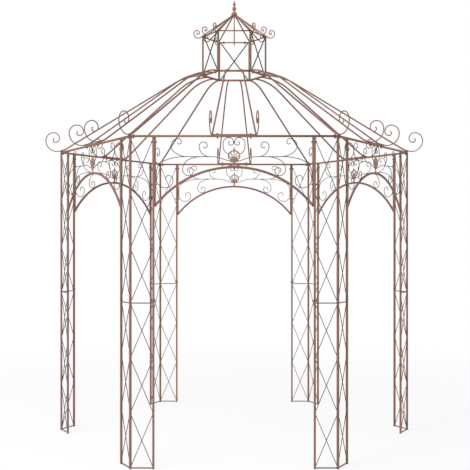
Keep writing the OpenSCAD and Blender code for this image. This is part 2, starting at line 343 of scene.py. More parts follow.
def put(piece, turn=0, offset=(0, 0, 0), tilt=0):
    """Tilts a piece about Y, turns it about Z, shifts it, and keeps its place in its mesh."""
    choose(piece)
    piece.rotation_euler = (0, radians(tilt), radians(turn))
    piece.location = offset
    bpy.ops.object.transform_apply()
    return piece


def copy_of(piece, name, turn=0, offset=(0, 0, 0), tilt=0):
    choose(piece)
    bpy.ops.object.duplicate()
    copy = bpy.context.object
    copy.name = name
    return put(copy, turn, offset, tilt)


def mirror_of(piece, name):
    """A copy on the other side of the YZ plane, with its faces turned outwards again."""
    choose(piece)
    bpy.ops.object.duplicate()
    copy = bpy.context.object
    copy.name = name
    copy.scale.x = -1
    bpy.ops.object.transform_apply()
    bpy.ops.object.mode_set(mode="EDIT")
    bpy.ops.mesh.select_all(action="SELECT")
    bpy.ops.mesh.normals_make_consistent(inside=False)
    bpy.ops.object.mode_set(mode="OBJECT")
    return copy


def six_of(piece, name, turn=0):
    """A piece and its five copies round the hexagon, in one."""
    put(piece, turn)
    copies = [copy_of(piece, name, SIXTH * i) for i in range(1, len(CORNERS))]
    return joined(name, [piece] + copies)


def three_of(piece, name):
    """A piece in every second face, from the right front one on."""
    put(piece, SIXTH)
    copies = [copy_of(piece, name, 2 * SIXTH * i) for i in (1, 2)]
    return joined(name, [piece] + copies)


def apply_modifier(piece, kind, **settings):
    choose(piece)
    bpy.ops.object.modifier_add(type=kind)
    modifier = piece.modifiers[-1]
    for key, value in settings.items():
        setattr(modifier, key, value)
    bpy.ops.object.modifier_apply(modifier=modifier.name)


def finish_piece(piece, slot, paint, *nodes):
    """Paints a piece, puts it under its body's empty and hides the frame's nodes that it stands for. The
    slot is not used.
    """
    piece.data.materials.clear()
    piece.data.materials.append(paint)
    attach(piece, "root")
    if nodes:
        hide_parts(*nodes)


def round_the_hexagon(piece, kind, names, first, slot, paint, node_kind=None):
    """Copies a piece to all six corners or faces, in place of the frame's nodes."""
    pieces = {first: piece}
    for i in range(len(names)):
        if i != first:
            pieces[i] = copy_of(piece, "copy", SIXTH * (i - first))
    for i, name in enumerate(names):
        pieces[i].name = f"{kind}_{name}_iron"
        finish_piece(pieces[i], slot, paint, f"{node_kind or kind}_{name}")


# Finishes

METAL = 0.12
SHEEN = 0.35
PATCHES = {"Scale": 2.4, "Detail": 3.0, "Roughness": 0.6}
MOTTLE = {"Scale": 60.0, "Detail": 6.0, "Roughness": 0.65}
SPECKS = {"Detail": 2.0, "Roughness": 0.5}
PATCH_RANGE = {"From Min": 0.40, "From Max": 0.62}
MOTTLE_RANGE = {"From Min": 0.5, "From Max": 0.75, "To Max": 0.7}
EDGE_RANGE = {"From Min": 0.52, "From Max": 0.60, "To Max": 0.55}
GLOSS_RANGE = {"To Min": 0.42, "To Max": 0.68}
GRAIN_BUMP = {"Strength": 0.25, "Distance": 0.4 * MM}


def add_node(tree, kind, inputs=None, **settings):
    node = tree.nodes.new(kind)
    for key, value in settings.items():
        setattr(node, key, value)
    for key, value in (inputs or {}).items():
        node.inputs[key].default_value = value
    return node


def painted_iron(name, coat, warm, dark, rubbed, grain):
    """Paint over iron: mottled, a little warmer in patches and rubbed on its edges."""
    paint = bpy.data.materials.new(name)
    paint.use_nodes = True
    tree = paint.node_tree
    link = tree.links.new
    shader = tree.nodes["Principled BSDF"]
    shader.inputs["Metallic"].default_value = METAL
    shader.inputs["Specular IOR Level"].default_value = SHEEN
    place = add_node(tree, "ShaderNodeTexCoord").outputs["Object"]

    patches = add_node(tree, "ShaderNodeTexNoise", PATCHES)
    mottle = add_node(tree, "ShaderNodeTexNoise", MOTTLE)
    specks = add_node(tree, "ShaderNodeTexNoise", {"Scale": grain, **SPECKS})
    for noise in (patches, mottle, specks):
        link(place, noise.inputs["Vector"])

    patch_ramp = add_node(tree, "ShaderNodeMapRange", PATCH_RANGE)
    link(patches.outputs["Fac"], patch_ramp.inputs["Value"])
    tone = add_node(tree, "ShaderNodeMix", data_type="RGBA")
    tone.inputs["A"].default_value = (*coat, 1)
    tone.inputs["B"].default_value = (*warm, 1)
    link(patch_ramp.outputs["Result"], tone.inputs["Factor"])

    mottle_ramp = add_node(tree, "ShaderNodeMapRange", MOTTLE_RANGE)
    link(mottle.outputs["Fac"], mottle_ramp.inputs["Value"])
    shade = add_node(tree, "ShaderNodeMix", data_type="RGBA")
    shade.inputs["B"].default_value = (*dark, 1)
    link(mottle_ramp.outputs["Result"], shade.inputs["Factor"])
    link(tone.outputs["Result"], shade.inputs["A"])

    edges = add_node(tree, "ShaderNodeNewGeometry").outputs["Pointiness"]
    edge_ramp = add_node(tree, "ShaderNodeMapRange", EDGE_RANGE)
    link(edges, edge_ramp.inputs["Value"])
    wear = add_node(tree, "ShaderNodeMath", operation="MULTIPLY")
    link(edge_ramp.outputs["Result"], wear.inputs[0])
    link(mottle.outputs["Fac"], wear.inputs[1])
    worn = add_node(tree, "ShaderNodeMix", data_type="RGBA")
    worn.inputs["B"].default_value = (*rubbed, 1)
    link(wear.outputs["Value"], worn.inputs["Factor"])
    link(shade.outputs["Result"], worn.inputs["A"])
    link(worn.outputs["Result"], shader.inputs["Base Color"])

    gloss = add_node(tree, "ShaderNodeMapRange", GLOSS_RANGE)
    link(mottle.outputs["Fac"], gloss.inputs["Value"])
    link(gloss.outputs["Result"], shader.inputs["Roughness"])

    bump = add_node(tree, "ShaderNodeBump", GRAIN_BUMP)
    link(specks.outputs["Fac"], bump.inputs["Height"])
    link(bump.outputs["Normal"], shader.inputs["Normal"])
    return paint


tube_paint = painted_iron(
    "tube_paint", coat=(0.192, 0.099, 0.067), warm=(0.258, 0.120, 0.089),
    dark=(0.104, 0.061, 0.046), rubbed=(0.375, 0.212, 0.153), grain=420.0,
)
rod_paint = painted_iron(
    "rod_paint", coat=(0.068, 0.055, 0.051), warm=(0.090, 0.062, 0.055),
    dark=(0.040, 0.035, 0.034), rubbed=(0.170, 0.125, 0.110), grain=520.0,
)
cast_paint = painted_iron(
    "cast_paint", coat=(0.285, 0.175, 0.132), warm=(0.355, 0.210, 0.158),
    dark=(0.160, 0.108, 0.089), rubbed=(0.490, 0.325, 0.245), grain=300.0,
)
# Near black: the braces are iron painted like the other rods, and the extra darkness is painted shade
# for the shade they stand in inside the cupola.
brace_paint_with_painted_shade = painted_iron(
    "brace_paint_with_painted_shade", coat=(0.028, 0.027, 0.029), warm=(0.034, 0.031, 0.031),
    dark=(0.016, 0.016, 0.017), rubbed=(0.060, 0.052, 0.050), grain=520.0,
)
bolt_paint = painted_iron(
    "bolt_paint", coat=(0.058, 0.044, 0.041), warm=(0.080, 0.054, 0.049),
    dark=(0.032, 0.027, 0.026), rubbed=(0.180, 0.135, 0.120), grain=600.0,
)


# Legs

JOINT_GROOVE = 1.5 * MM
GROOVE_SHARE = 0.86


def leg_tube(name, u):
    """An upright tube in two lengths that meet at mid height, with a fine groove at the joint."""
    below, above = leg_h / 2 - JOINT_GROOVE, leg_h / 2 + JOINT_GROOVE
    square_ring(name, tube, tube, (u, 0, UP))
    draw_out((u, 0, UP), below)
    draw_out((u, below, UP), 0)
    shrink((u, below, UP), GROOVE_SHARE)
    draw_out((u, below, UP), above - below)
    draw_out((u, above, UP), 0)
    shrink((u, above, UP), 1 / GROOVE_SHARE)
    draw_out((u, above, UP), leg_h - above)
    return close()


def lattice_rods():
    """Crossed rods that lie against each other, with their ends welded into the tubes."""
    low = FOOT_GAP + RUNG / 2
    pitch = (leg_h - 2 * low) / LATTICE_CROSSES
    width = corner_u - side_tube_u
    slope = atan2(pitch, width)
    length = hypot(pitch, width)
    lap = LATTICE_ROD * CROSS_LAP
    parts = []
    for k in range(LATTICE_CROSSES):
        z = low + k * pitch
        rising = rod("rod", (side_tube_u, z, slope), [(length, 0)], LATTICE_ROD)
        falling = rod("rod", (corner_u, z, pi - slope), [(length, 0)], LATTICE_ROD)
        parts += [put(rising, offset=(0, -lap, 0)), put(falling, offset=(0, lap, 0))]
    for k in range(LATTICE_CROSSES + 1):
        z = low + k * pitch
        for u in (side_tube_u + tube / 2, corner_u - tube / 2):
            parts.append(weld((u, 0, z), LATTICE_WELD))
    for z in (low, leg_h / 2):
        parts.append(bar("rung", (side_tube_u, z, 0), [(width, 0)], RUNG, RUNG))
    return joined("lattice", parts)


def both_sides(near, name):
    """A leg's second side, mirrored to the next face, joined to its first."""
    put(near, offset=(0, -face_y, 0))
    far = put(mirror_of(near, "far_side"), SIXTH)
    return joined(name, [near, far])


def legs():
    round_the_hexagon(
        leg_tube("post", corner_r), "corner_post", CORNERS, RIGHT_CORNER, "tube_iron", tube_paint
    )
    tubes = both_sides(leg_tube("side_tube", side_tube_u), "tubes")
    round_the_hexagon(
        tubes, "side_tubes", CORNERS, FRONT_RIGHT_CORNER, "tube_iron", tube_paint, "leg_lattice"
    )
    lattice = both_sides(lattice_rods(), "lattice")
    round_the_hexagon(lattice, "leg_lattice", CORNERS, FRONT_RIGHT_CORNER, "rod_iron", rod_paint)


# Arches

def arch_frames():
    half_angle = asin(stile_u / arch_r)
    bow = bar(
        "bow", (-stile_u, spring_h, half_angle), [(arch_r, -2 * degrees(half_angle))], ARCH_W, arch_d
    )
    parts = [bow]
    for side in (-1, 1):
        foot = (side * stile_u, spring_h - ARCH_W / 2, UP)
        parts.append(bar("stile", foot, [(leg_h - foot[1], 0)], STILE_W, arch_d))
        parts.append(weld((side * stile_in, 0, spring_h + ARCH_W / 2), ARCH_WELD))
    arch = put(joined("arch", parts), offset=(0, -face_y, 0))
    round_the_hexagon(arch, "arch_frame", FACES, FRONT_FACE, "tube_iron", tube_paint)


# Shell castings over the crowns

SHELL_STEM = 42 * MM
SHELL_REACH = 66 * MM
SHELL_NECK = 14 * MM
SHELL_PALM = 25 * MM
SHELL_CHEEK = 13 * MM
PALM_FOOT = 16 * MM
PALM_BROW = 14 * MM
PALM_BULGE = 8 * MM
PALM_DEPTH = 6.5 * MM
PALM_ROWS = [0.15, 0.35, 0.55, 0.75, 1.0]
SHELL_EAR = 6 * MM
EAR_LEAD = 20 * MM
EAR_TURN = 30
EAR_ROOT = 0.8 * SHELL_NECK
EAR_COIL = 5 * MM
EAR_RATIOS = [1.0, 0.9, 0.75, 0.6]
SHELL_W = 10.5 * MM
SHELL_POINT = 24 * MM
POINT_WAIST = 0.55 * SHELL_POINT
POINT_ROOT_R = 0.7 * SHELL_W
POINT_SHAFT_R = 0.65 * SHELL_W
POINT_WAIST_R = 0.45 * SHELL_W
POINT_TIP_R = 0.2 * SHELL_W
FAN_RISE = 8 * MM
SPOKE_ROOT = 7.5 * MM
SPOKE_TIP = 8 * MM
SHELL_LOBE = 6.5 * MM
SHELL_RIBS = 7
SHELL_SPREAD = 80
SHELL_TAPER = 0.44
FLUTE_TURN = 64
STEM_FLATNESS = 0.75
STEM_FLARE = 1.25
STEM_WAIST = 0.9
STEM_BAND = 1.4
FLARE_SINK = 2 * MM
FLARE_EDGE = 3 * MM
FLARE_TOP = 6 * MM
BAND_EDGE = 2 * MM
BAND_FOOT = 5 * MM
BAND_TOP = 6 * MM
SHELL_VOXEL = 0.9 * MM
SHELL_SMOOTHING = 0.5
SHELL_PASSES = 2
SHELL_THINNING = 0.3
shell_z = crown_top + SHELL_STEM
shell_foot_z = shell_z - PALM_FOOT
shell_brow_z = shell_z + PALM_BROW
shell_fan_z = shell_z + FAN_RISE


def shell_turn(i):
    """Lean of a spoke from the upright, to the right where positive."""
    return SHELL_SPREAD * (2 * i / (SHELL_RIBS - 1) - 1)


def shell_reach(i):
    return SHELL_REACH * (1 - SHELL_TAPER * (shell_turn(i) / SHELL_SPREAD) ** 2)


def shell_tip(i):
    turn = radians(shell_turn(i))
    return shell_reach(i) * sin(turn), shell_fan_z + shell_reach(i) * cos(turn)


def shell_flank(z):
    """Half the width of the plain palm at a height."""
    share = (z - shell_foot_z) / (shell_brow_z - shell_foot_z)
    return SHELL_NECK / 2 + (SHELL_PALM - SHELL_NECK / 2) * share


def shell_spoke(i):
    """A spoke of the fan, from a thin root in the palm to its tip in the rim."""
    root = (0, shell_fan_z, UP - radians(shell_turn(i)))
    round_ring("spoke", SPOKE_ROOT, root)
    draw_out(root, shell_reach(i))
    end = advance(root, (shell_reach(i), 0))
    shrink(end, SPOKE_TIP / SPOKE_ROOT)
    dome(end, SPOKE_TIP)
    return close()


def shell_flute(i):
    """The rim between two tips, bowed outwards."""
    (low_u, low_z), (high_u, high_z) = shell_tip(i), shell_tip(i + 1)
    chord = hypot(high_u - low_u, high_z - low_z)
    half = radians(FLUTE_TURN / 2)
    heading = atan2(high_z - low_z, high_u - low_u) + half
    return rod("flute", (low_u, low_z, heading), [(chord / 2 / sin(half), -FLUTE_TURN)], SHELL_W)


def shell_palm():
    """The palm, drawn up from the neck and bulged, with a round cheek at each side of its brow."""
    round_ring("palm", SHELL_NECK, (0, shell_foot_z, UP))
    z, half = shell_foot_z, SHELL_NECK / 2
    for share in PALM_ROWS:
        next_z = shell_foot_z + share * (shell_brow_z - shell_foot_z)
        draw_out((0, z, UP), next_z - z)
        next_half = shell_flank(next_z) + PALM_BULGE * sin(pi * share) - EDGE_ROUND
        shrink((0, next_z, UP), next_half / half, 1)
        z, half = next_z, next_half
    parts = [close()]
    for side in (-1, 1):
        at = (side * (SHELL_PALM - SHELL_CHEEK), 0, shell_brow_z)
        deselect()
        bpy.ops.mesh.primitive_uv_sphere_add(
            segments=TURNED_SIDES, ring_count=TURNED_SIDES // 2, radius=SHELL_CHEEK, location=at
        )
        begin("cheek")
        bpy.ops.transform.resize(value=(1, PALM_DEPTH / SHELL_CHEEK, 1), center_override=at)
        parts.append(close())
    return parts


def shell_ear():
    """A volute that springs from the palm's foot and rolls up beside it."""
    start = (EAR_ROOT, shell_foot_z + EAR_COIL, radians(EAR_TURN))
    coil = [(EAR_COIL * ratio, QUARTER) for ratio in EAR_RATIOS]
    return rod("ear", start, [(EAR_LEAD, 0)] + coil, SHELL_EAR)


def shell_point():
    """The spike on the middle spoke."""
    tip_z = shell_tip(SHELL_RIBS // 2)[1]
    lobe_z = tip_z + SHELL_LOBE
    rings = [
        (tip_z, POINT_ROOT_R), (tip_z + 2 * SHELL_LOBE, POINT_SHAFT_R),
        (lobe_z + POINT_WAIST, POINT_WAIST_R), (lobe_z + SHELL_POINT, POINT_TIP_R),
    ]
    return turned("point", rings, ROD_SIDES)


def shell_stem():
    """The foot of the casting, flared where it stands on the arch, with a band under the palm."""
    neck = SHELL_NECK / 2
    flare, waist, band = neck * STEM_FLARE, neck * STEM_WAIST, neck * STEM_BAND
    rings = [
        (crown_top - FLARE_SINK, flare), (crown_top + FLARE_EDGE, flare),
        (crown_top + FLARE_TOP, neck), (shell_foot_z - BAND_FOOT, waist),
        (shell_foot_z - BAND_EDGE, band), (shell_foot_z + BAND_EDGE, band),
        (shell_foot_z + BAND_TOP, neck),
    ]
    stem = turned("stem", rings)
    stem.scale.y = STEM_FLATNESS
    return put(stem)


def shell_casting():
    """A stem, a palm with a volute each side, and a fan of spokes with a fluted rim, cast in one."""
    ear = shell_ear()
    parts = shell_palm() + [ear, mirror_of(ear, "other_ear"), shell_point(), shell_stem()]
    parts += [shell_spoke(i) for i in range(SHELL_RIBS)]
    parts += [shell_flute(i) for i in range(SHELL_RIBS - 1)]
    shell = joined("shell", parts)
    apply_modifier(shell, "REMESH", mode="VOXEL", voxel_size=SHELL_VOXEL)
    apply_modifier(shell, "SMOOTH", factor=SHELL_SMOOTHING, iterations=SHELL_PASSES)
    apply_modifier(shell, "DECIMATE", ratio=SHELL_THINNING)
    choose(shell)
    bpy.ops.object.shade_smooth()
    return put(shell, offset=(0, -face_y, 0))


def shell_ornaments():
    shells = six_of(shell_casting(), "shell_ornaments_iron")
    finish_piece(shells, "cast_iron", cast_paint, "shell_ornaments")


# Scrollwork, one half of a face and its mirror image

STEM_DROP = 10 * MM
STEM_TURN = 12
STEM_LAP = 3 * MM
HEART_TURN = 25
HEART_SEAT_TURN = 46
HEART_SEAT_REACH = 58.4 * MM
WELD_GAP = 0.3 * MM
COLLAR_W = 15 * MM
COLLAR_H = 12 * MM
COLLAR_D = 9 * MM
SCROLL_WELD = 3.4 * MM
heart_top = head_room / 5

# Steps of the scrolls' paths, with radii and lengths in hundredths of the head room over an arch
STEM_HEAD = [(135, 6), (29, 0), (110, -18)]
STEM_TAIL = [(190, -22), (45, -68)]
STEM_CURL = [(22, 0), (31, -90), (27, -90), (16, -90), (10, -90), (6, -60)]
UP_CURL = [(4, 0), (36, 90), (15, 90), (13, 90), (8, 90), (6, 60)]
END_BACK = [(-7, 0)]
END_CURL = [(68, 45), (25, 135), (11, 90), (8, 90), (6, 60)]
DOWN_LEAD = [(113, -22), (40, -68), (21, -90)]
DOWN_CURL = [(16, -90), (12, -90), (9, -90), (6, -60)]
HEART_FOOT = [(28, 90 - HEART_TURN)]
HEART_CURL = [(10, 90), (7.5, 90), (5.5, 70)]


def in_head_room(steps):
    """Steps in metres, from steps in hundredths of the head room."""
    return [(size * head_room / 100, turn) for size, turn in steps]


def lapped_rod(name, start, steps, lap):
    """A rod that starts a little inside what it is welded to."""
    return rod(name, advance(start, (-lap, 0)), [(lap, 0)] + steps, scroll_rod)


def stem_rods():
    """The stem from the shell to the stile, and the three curls that branch off it."""
    stem_turn = radians(STEM_TURN)
    stem_z = shell_z - STEM_DROP
    stem_u = shell_flank(stem_z + scroll_rod / 2) + scroll_rod / 2 * sin(stem_turn) + WELD_GAP
    start = (stem_u, stem_z, stem_turn)
    head = in_head_room(STEM_HEAD)
    tail = in_head_room(STEM_TAIL)
    curl = in_head_room(STEM_CURL)
    flat = path_end(start, head)
    fall = path_end((0, 0, 0), tail)
    straight = stile_in - scroll_rod / 2 - flat[0] - fall[0]
    end_start = path_end(flat, [(straight, 0)] + in_head_room(END_BACK))
    at_stile = (stile_in, 0, flat[1] + fall[1] - curl[0][0] / 2)
    return [
        lapped_rod("stem", start, head + [(straight, 0)] + tail + curl, STEM_LAP),
        rod("up_curl", flat, in_head_room(UP_CURL), scroll_rod),
        rod("end_curl", end_start, in_head_room(END_CURL), scroll_rod),
        weld(at_stile, SCROLL_WELD),
    ] + down_curl(flat[1])


def down_curl(branch_z):
    """The curl that branches off the stem where its lower quarter comes to rest on the arch."""
    lead, curl = in_head_room(DOWN_LEAD), in_head_room(DOWN_CURL)
    low_u, low_z = path_end((0, branch_z, 0), lead)[:2]
    quarter = curl[0][0]
    arch_top = arch_r + ARCH_W / 2
    reach = arch_top + WELD_GAP + scroll_rod / 2 + quarter
    rise = low_z + quarter - arch_centre_z
    run = sqrt(reach ** 2 - rise ** 2)
    seat = (arch_top * run / reach, 0, arch_centre_z + arch_top * rise / reach)
    return [
        rod("down_curl", (run - low_u, branch_z, 0), lead + curl, scroll_rod),
        weld(seat, SCROLL_WELD),
    ]


def heart_rods():
    """Half of the heart under the rail, with half of the collar that clasps it to the other."""
    seat_turn = radians(HEART_SEAT_TURN)
    seat_u = HEART_SEAT_REACH * sin(seat_turn)
    seat_z = shell_fan_z + HEART_SEAT_REACH * cos(seat_turn)
    seat = SHELL_LOBE + WELD_GAP
    turn = radians(HEART_TURN)
    start = (seat_u + seat * cos(turn), seat_z + seat * sin(turn), turn)
    foot = in_head_room(HEART_FOOT)
    bulge_u, bulge_z = path_end(start, foot)[:2]
    rise = leg_h - scroll_rod / 2 - heart_top - bulge_z
    inner = bulge_u - heart_top - scroll_rod / 2 - WELD_GAP
    steps = foot + [(rise, 0), (heart_top, QUARTER), (inner, QUARTER)] + in_head_room(HEART_CURL)
    clasp_z = leg_h - scroll_rod / 2 - inner
    return [
        lapped_rod("heart", start, steps, SHELL_LOBE),
        bar("collar", (0, clasp_z, 0), [(COLLAR_W / 2, 0)], COLLAR_H, COLLAR_D),
        weld((bulge_u - heart_top, 0, leg_h), SCROLL_WELD),
    ]


def scrollwork():
    half = joined("half", stem_rods() + heart_rods())
    whole = joined("scrolls", [half, mirror_of(half, "other_half")])
    put(whole, offset=(0, -face_y, 0))
    round_the_hexagon(whole, "scrollwork", FACES, FRONT_FACE, "rod_iron", rod_paint)


# Eave rails and rings, as bars mitred round the hexagon

def mitred_side(name, apothem, width, z, gap):
    """One side of a hexagon of square tube, cut to the mitre at both ends."""
    reach = (apothem + width) * tan(HALF_SIXTH)
    side = bar(name, (-reach, z + width / 2, 0), [(2 * reach, 0)], width, width)
    put(side, offset=(0, -apothem, 0))
    bpy.ops.object.mode_set(mode="EDIT")
    for way in (-1, 1):
        bpy.ops.mesh.select_all(action="SELECT")
        normal = (way * cos(HALF_SIXTH), sin(HALF_SIXTH), 0)
        bpy.ops.mesh.bisect(
            plane_co=(-way * gap, 0, z), plane_no=normal, use_fill=True, clear_outer=True
        )
    bpy.ops.object.mode_set(mode="OBJECT")
    return side


def hexagon(name, apothem, width, z, gap=0):
    return six_of(mitred_side(name, apothem, width, z, gap), name)


def rails_and_rings():
    rails = hexagon("eave_rails_iron", face_y, rail, leg_h, MITRE_GAP)
    finish_piece(rails, "tube_iron", tube_paint, "eave_rails")
    base = hexagon("cupola_base_ring_iron", cupola_y, cupola_tube, ring_low.z)
    finish_piece(base, "tube_iron", tube_paint, "cupola_base_ring")
    top = hexagon("cupola_top_ring_iron", cupola_y, cap_bar, cap_low.z)
    finish_piece(top, "tube_iron", tube_paint, "cupola_top_ring")


# Roof ribs

RIB_WELD = 4 * MM


def rib_curl(radius, first_turn):
    """Steps of a rib's scroll, in arcs that tighten."""
    quarters = [(radius * ratio, QUARTER) for ratio in CURL_RATIOS]
    return [(radius, first_turn)] + quarters + [(radius * CURL_TIP_RATIO, CURL_TIP_TURN)]


def roof_rib(reach):
    """A rib from the cupola's base ring, in a bow over the rail, to its scroll, in the XZ plane."""
    # Over the rail the rib runs down at the scroll's dip, to where the frame's scroll starts
    dip = radians(SCROLL_DIP)
    lead = FOOT_FLAT / 2 + FOOT_BEND * sin(dip)
    foot_z = rail_top + rib / 2 - FOOT_BEND * (1 - cos(dip)) + lead * tan(dip)
    run = reach - HEAD_FLAT + FOOT_BOW * sin(dip)
    bends = HEAD_BEND + FOOT_BOW
    rest = rib_head_z - foot_z - HEAD_BEND - FOOT_BOW * cos(dip)
    slope = asin(bends / hypot(run, rest)) + atan2(rest, run)
    straight = (run - bends * sin(slope)) / cos(slope)
    turn = degrees(slope)
    to_rail = [(HEAD_FLAT, 0), (HEAD_BEND, -turn), (straight, 0), (FOOT_BOW, turn - SCROLL_DIP)]
    steps = to_rail + [(FOOT_FLAT / 2, 0)]
    start = (0, rib_head_z, 0)
    foot = path_end(start, to_rail)
    scroll = [(lead / cos(dip), 0)] + rib_curl(EAVE_SCROLL, QUARTER + SCROLL_DIP)
    parts = [bar("rib", start, steps, rib, rib), rod("eave_scroll", foot, scroll, CURL_ROD)]
    for side in (-1, 1):
        parts.append(weld((foot[0], side * rib / 2, rail_top), RIB_WELD))
        parts.append(weld((ring_half, side * rib / 2, rib_head_z), RIB_WELD))
    return joined("roof_rib", parts)


def hip_ribs():
    piece = put(roof_rib(corner_r - cupola_r), offset=(cupola_r, 0, 0))
    round_the_hexagon(piece, "hip_rib", CORNERS, RIGHT_CORNER, "tube_iron", tube_paint)


def rib_pairs():
    across_u, along_y = PAIR_FOOT - PAIR_HEAD, cupola_y - face_y
    turn = degrees(atan2(along_y, across_u))
    right = put(roof_rib(hypot(across_u, along_y)), turn, (PAIR_HEAD, -cupola_y, 0))
    left = mirror_of(right, "left_rib")
    foot_bar = bar(
        "foot_bar", (-PAIR_FOOT, rail_top + FOOT_BAR / 2, 0), [(2 * PAIR_FOOT, 0)], FOOT_BAR, rib
    )
    put(foot_bar, offset=(0, -face_y, 0))
    pair = joined("pair", [right, left, foot_bar])
    round_the_hexagon(pair, "rib_pair", FACES, FRONT_FACE, "tube_iron", tube_paint)


# Cupola

def cupola_posts():
    post = bar(
        "cupola_post", (cupola_r, ring_top, UP), [(cap_low.z - ring_top, 0)], cupola_tube, cupola_tube
    )
    posts = six_of(post, "cupola_posts_iron")
    finish_piece(posts, "tube_iron", tube_paint, "cupola_posts")


def cupola_braces():
    """Crossed rods in every second face, one lying against the other."""
    half = cupola_r / 2 - cupola_tube
    height = cap_low.z - ring_top
    slope = atan2(height, 2 * half)
    length = hypot(height, 2 * half)
    lap = BRACE_ROD * CROSS_LAP
    rising = rod("brace", (-half, ring_top, slope), [(length, 0)], BRACE_ROD)
    falling = rod("brace", (half, ring_top, pi - slope), [(length, 0)], BRACE_ROD)
    put(rising, offset=(0, -cupola_y - lap, 0))
    put(falling, offset=(0, -cupola_y + lap, 0))
    braces = three_of(joined("cross", [rising, falling]), "cupola_braces_iron")
    # The braces take the near-black paint, which has painted shade in it.
    finish_piece(braces, "rod_iron", brace_paint_with_painted_shade, "cupola_braces")


def cap_rib(reach):
    """A cupola rib from the hub, over the top ring, to its scroll, in the XZ plane."""
    run, drop = reach - HUB_R, cap_rise + CAP_NOTCH
    slope = acos(cap_bar / hypot(run, drop)) - atan2(run, drop)
    head = (HUB_R - cap_bar / 2 * sin(slope), hub_z - cap_bar / 2 * cos(slope), -slope)
    length = (reach + CAP_OVERHANG - HUB_R) / cos(slope)
    end = advance(head, (length - cap_bar, 0))
    scroll = [(cap_bar, 0)] + rib_curl(CAP_SCROLL, QUARTER + degrees(slope))
    parts = [
        bar("cap_rib", head, [(length, 0)], cap_bar, cap_bar),
        rod("cap_scroll", end, scroll, CURL_ROD),
    ]
    return joined("cap_rib", parts)


def cupola_ribs():
    hips = six_of(cap_rib(cupola_r + cap_bar / 2 / cos(HALF_SIXTH)), "cupola_hip_ribs_iron")
    finish_piece(hips, "tube_iron", tube_paint, "cupola_hip_ribs")
    mids = six_of(cap_rib(cupola_y + cap_bar / 2), "cupola_mid_ribs_iron", SIXTH / 2)
    finish_piece(mids, "tube_iron", tube_paint, "cupola_mid_ribs")


# Finial

HUB_SIDES = 12
HUB_EDGE = 1.5 * MM
BELL_R = 28 * MM
BELL_H = 38 * MM
BELL_FLANK = 32 * MM
BELL_FULLNESS = 0.7
NECK_R = 9 * MM
BALL_NECK = 1 * MM
BALL_R = 19.5 * MM
BEAD_NECK = 7 * MM
BEAD_R = 14 * MM
SPIKE_END = 4.2 * MM
SPIKE_TIP = SPIKE_END / 3
TURNED_STEP = 15


def bell_profile():
    """The bell's flank, a filled-out quarter of a cosine that is upright at the rim."""
    rim = [(hub_z, BELL_R - HUB_EDGE), (hub_z + HUB_EDGE, BELL_R)]
    flank = []
    for t in range(TURNED_STEP, QUARTER + TURNED_STEP, TURNED_STEP):
        radius = NECK_R + (BELL_R - NECK_R) * cos(radians(t)) ** BELL_FULLNESS
        flank.append((hub_z + BELL_FLANK * t / QUARTER, radius))
    return rim + flank


def ball_profile(centre_z, radius):
    """A ball from neck to neck."""
    reach = degrees(acos(NECK_R / radius))
    steps = ceil(2 * reach / TURNED_STEP)
    rows = []
    for k in range(steps + 1):
        turn = radians(reach * (2 * k / steps - 1))
        rows.append((centre_z + radius * sin(turn), radius * cos(turn)))
    return rows


def finial():
    hub_corner = HUB_R / cos(pi / HUB_SIDES)
    rings = [
        (finial_low.z, hub_corner - HUB_EDGE), (finial_low.z + HUB_EDGE, hub_corner),
        (hub_z - HUB_EDGE, hub_corner), (hub_z, hub_corner - HUB_EDGE),
    ]
    hub = turned("hub", rings, HUB_SIDES, 180 / HUB_SIDES)
    ball_z = hub_z + BELL_H + BALL_NECK + BALL_R
    bead_z = ball_z + BALL_R + BEAD_NECK + BEAD_R
    spike = [(finial_high.z - SPIKE_END, SPIKE_END), (finial_high.z, SPIKE_TIP)]
    stem = turned(
        "stem", bell_profile() + ball_profile(ball_z, BALL_R) + ball_profile(bead_z, BEAD_R) + spike
    )
    finish_piece(joined("finial_iron", [hub, stem]), "cast_iron", cast_paint, "finial")


# Bolts, each with its washers and nut, joined in one piece for each place

BOLT_FLATS = 13 * MM
BOLT_HEAD = 5.3 * MM
BOLT_NUT = 6.5 * MM
BOLT_END = 3 * MM
BOLT_SHANK = 8 * MM
WASHER_R = 8 * MM
WASHER_H = 1.6 * MM
BOLT_CHAMFER = 0.8 * MM
BOLT_SIDES = 6
WASHER_SIDES = 12
CUPOLA_BOLT = 0.9
ON_ITS_SIDE = -90
STILE_BOLTS_Z = [2193 * MM, 2519 * MM]
LEG_BOLT_Z = leg_h / 2 + 2 * RUNG
FOOT_BOLT_U = 129 * MM
CORNER_BOLT_U = 777 * MM
RING_BOLT_U = 100 * MM


def six_flats(name, low, high):
    """A bolt head or a nut, chamfered at both ends."""
    corner = BOLT_FLATS / 2 / cos(HALF_SIXTH)
    rings = [
        (low, corner - BOLT_CHAMFER), (low + BOLT_CHAMFER / 2, corner),
        (high - BOLT_CHAMFER / 2, corner), (high, corner - BOLT_CHAMFER),
    ]
    return turned(name, rings, BOLT_SIDES)


def washer(low):
    edge = WASHER_H / 4
    rings = [
        (low, WASHER_R - edge), (low + edge, WASHER_R),
        (low + WASHER_H - edge, WASHER_R), (low + WASHER_H, WASHER_R - edge),
    ]
    return turned("washer", rings, WASHER_SIDES)


def bolt(grip, size=1):
    """A bolt on the upright axis, with its head up, through a thickness centred on the origin."""
    half = grip / 2 / size
    nut_end = -half - WASHER_H - BOLT_NUT
    shank = [
        (nut_end - BOLT_END, BOLT_SHANK / 2 - BOLT_CHAMFER), (nut_end - BOLT_END / 2, BOLT_SHANK / 2),
        (half, BOLT_SHANK / 2),
    ]
    parts = [
        six_flats("head", half + WASHER_H, half + WASHER_H + BOLT_HEAD), washer(half),
        washer(-half - WASHER_H), six_flats("nut", nut_end, nut_end + BOLT_NUT),
        turned("shank", shank, WASHER_SIDES),
    ]
    piece = joined("bolt", parts)
    piece.scale = (size, size, size)
    return put(piece)


